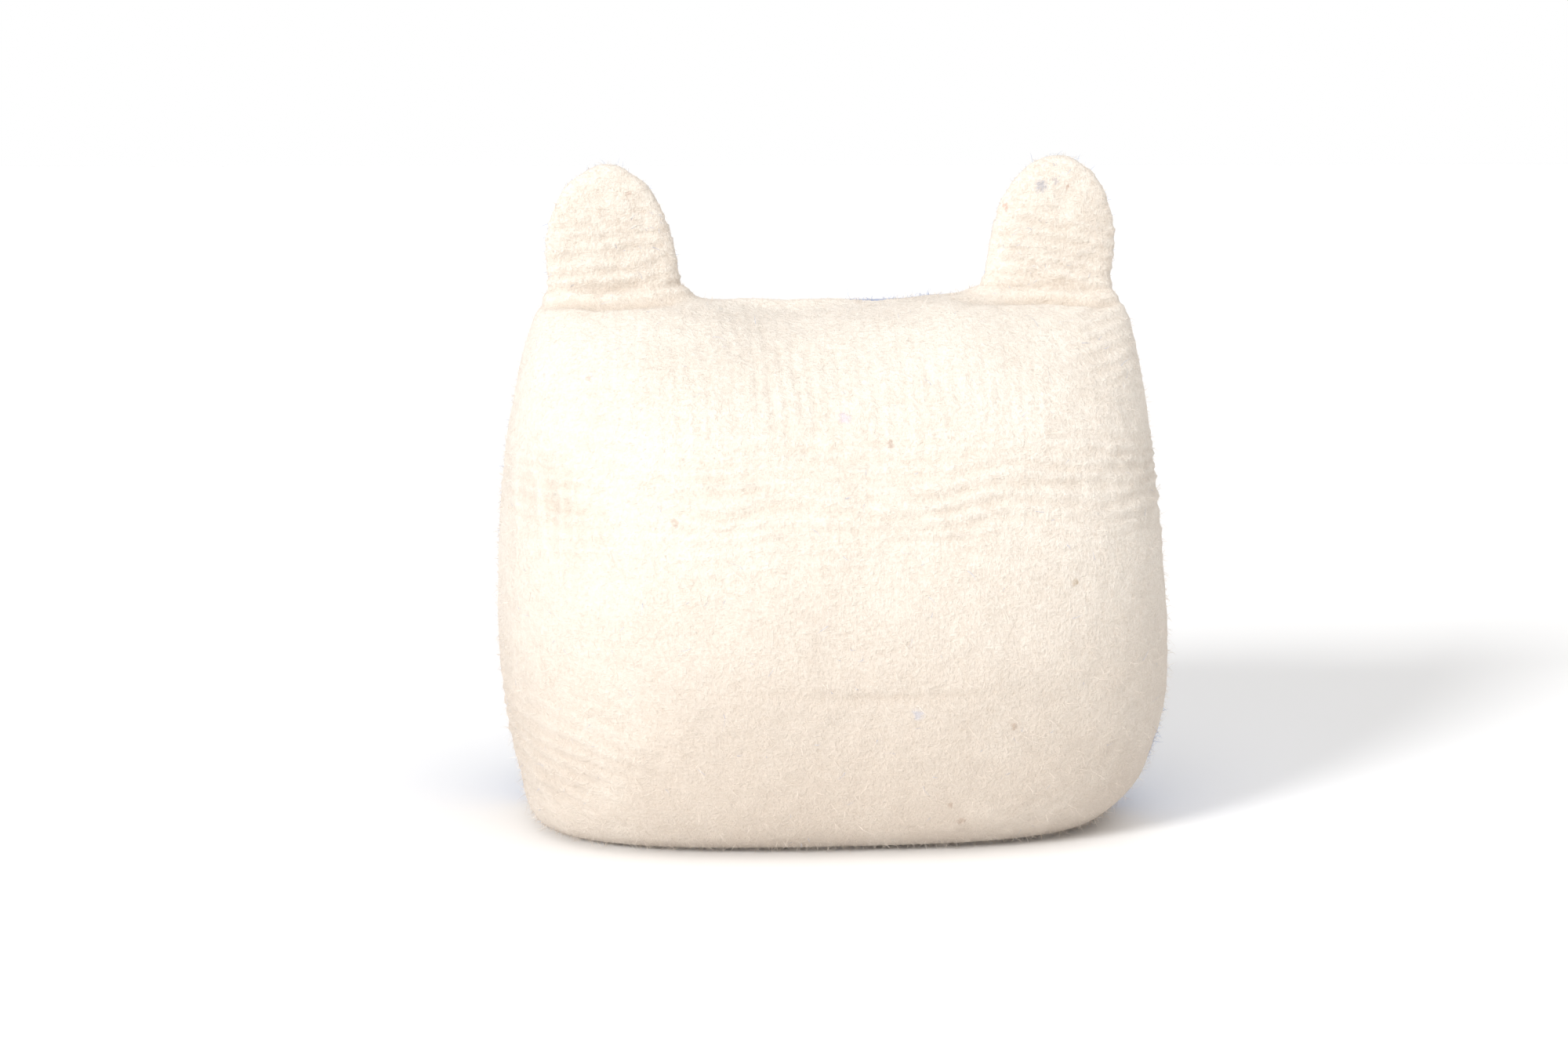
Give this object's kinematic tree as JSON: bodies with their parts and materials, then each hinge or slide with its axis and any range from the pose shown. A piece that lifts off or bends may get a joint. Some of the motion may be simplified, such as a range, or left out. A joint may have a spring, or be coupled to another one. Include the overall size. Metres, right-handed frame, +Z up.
{
  "type": "pet cushion bed",
  "caption": "Felted wool pet cave shaped like a soft pillow on a flat base, with folding upright ears, an oval entrance and a piped cushion inside.",
  "frame": {"origin": "centre of the base on the floor", "axes": "+Z up, +X across the front towards the right ear, and the entrance faces -Y"},
  "size_m": [0.4602, 0.3611, 0.4644],
  "materials": {
    "natural_felt": "matte",
    "natural_wool": "matte",
    "dyed_wool": "matte",
    "stuffing": "matte",
    "cushion_cloth": "matte",
    "piping_cloth": "matte"
  },
  "bodies": {
    "cave": {"shell_back": "natural_felt", "shell_front": "natural_felt", "shell_floor": "natural_felt", "back_wool_layer": "natural_wool", "front_wool_layer": "dyed_wool", "base_wool_layer": "natural_wool", "entrance_lip": "dyed_wool"},
    "right_ear": {"right_ear_back_felt": "natural_wool", "right_ear_front_felt": "dyed_wool"},
    "left_ear": {"left_ear_back_felt": "natural_wool", "left_ear_front_felt": "dyed_wool"},
    "cushion": {"cushion_stuffing": "stuffing", "cushion_top_panel": "cushion_cloth", "cushion_front_flap": "cushion_cloth", "cushion_rear_flap": "cushion_cloth", "cushion_piping": "piping_cloth"}
  },
  "joints": [
    {"name": "right_ear_fold", "type": "hinge", "parent": "cave", "child": "right_ear", "pos_m": [0.15, 0, 0.3714], "axis": [1, 0, 0], "range_deg": [-80, 80], "stiffness_Nm_per_rad": 0.25},
    {"name": "left_ear_fold", "type": "hinge", "parent": "cave", "child": "left_ear", "pos_m": [-0.15, 0, 0.3714], "axis": [1, 0, 0], "range_deg": [-80, 80], "stiffness_Nm_per_rad": 0.25},
    {"name": "cushion_lift", "type": "slide", "parent": "cave", "child": "cushion", "axis": [0, 0, 1], "range_m": [0, 0.08]}
  ]
}
